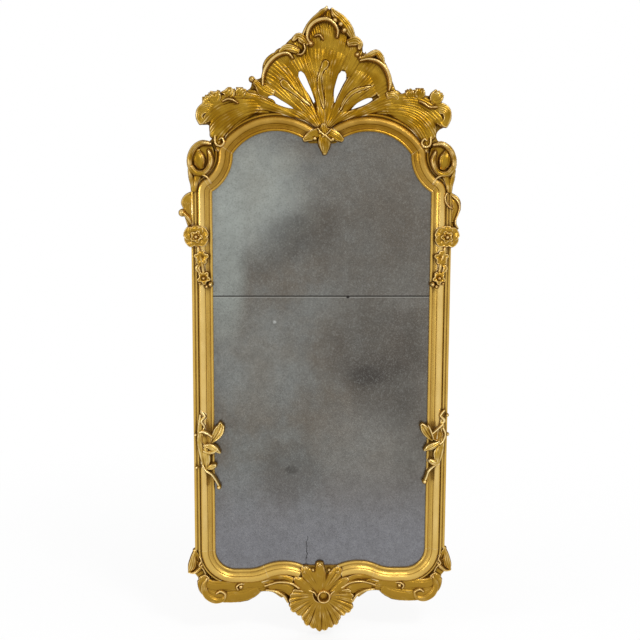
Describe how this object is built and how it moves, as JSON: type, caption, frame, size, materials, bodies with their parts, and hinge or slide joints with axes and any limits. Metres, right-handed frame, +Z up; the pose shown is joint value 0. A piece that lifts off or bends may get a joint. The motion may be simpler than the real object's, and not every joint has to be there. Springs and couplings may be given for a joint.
{
  "type": "pier mirror",
  "caption": "Tall wall mirror with an arched, carved and gilded frame: pierced leaf crest, scrolled shoulders, shell apron, and a jointed silvered glass behind one sight edge.",
  "frame": {"origin": "centre of the middle batten's rear face, on the wall plane, level with the joint of the two plates", "axes": "+Z up, +Y into the wall, +X to the right of a person facing the glass"},
  "size_m": [0.802, 0.0698, 1.8133],
  "materials": {
    "giltwood": "carved wood, water gilded over gesso and red bole, worn on the high points",
    "pine": "unfinished, darkened softwood",
    "silvered_glass": "aged silvering behind clear glass, with clouding and foxing",
    "iron": "dark wrought iron"
  },
  "bodies": {
    "frame": {"left_stile": "giltwood", "right_stile": "giltwood", "head_board": "pine", "bottom_board": "pine", "crest_board": "pine", "left_arch_moulding": "giltwood", "left_shoulder_moulding": "giltwood", "right_arch_moulding": "giltwood", "right_shoulder_moulding": "giltwood", "left_sway_moulding": "giltwood", "left_rise_moulding": "giltwood", "right_sway_moulding": "giltwood", "right_rise_moulding": "giltwood", "dowels": "pine", "palmette": "giltwood", "top_scroll": "giltwood", "left_crest_scroll": "giltwood", "right_crest_scroll": "giltwood", "left_plume": "giltwood", "right_plume": "giltwood", "left_ear": "giltwood", "right_ear": "giltwood", "left_spur": "giltwood", "right_spur": "giltwood", "left_rose": "giltwood", "right_rose": "giltwood", "left_bellflowers": "giltwood", "right_bellflowers": "giltwood", "left_side_leaf": "giltwood", "right_side_leaf": "giltwood", "left_corner_leaf": "giltwood", "right_corner_leaf": "giltwood", "left_apron_scroll": "giltwood", "right_apron_scroll": "giltwood", "shell": "giltwood", "lower_clasp": "giltwood", "cusp_clasp": "giltwood", "upper_plate": "silvered_glass", "lower_plate": "silvered_glass", "backboard_1": "pine", "backboard_2": "pine", "backboard_3": "pine", "backboard_4": "pine", "glazing_blocks": "pine", "sprigs": "iron", "upper_batten": "pine", "middle_batten": "pine", "lower_batten": "pine", "batten_screws": "iron", "centre_brace": "pine", "left_brace": "pine", "right_brace": "pine", "brace_screws": "iron", "left_hanger": "iron", "right_hanger": "iron", "hanger_screws": "iron"},
    "left_hanging_ring": {"left_ring": "iron"},
    "right_hanging_ring": {"right_ring": "iron"}
  },
  "joints": [
    {"name": "left_ring_swing", "type": "hinge", "parent": "frame", "child": "left_hanging_ring", "pos_m": [-0.346, -0.00742, 0.15], "axis": [1, 0, 0], "range_deg": [0, 180]},
    {"name": "right_ring_swing", "type": "hinge", "parent": "frame", "child": "right_hanging_ring", "pos_m": [0.346, -0.00742, 0.15], "axis": [1, 0, 0], "range_deg": [0, 180]}
  ]
}
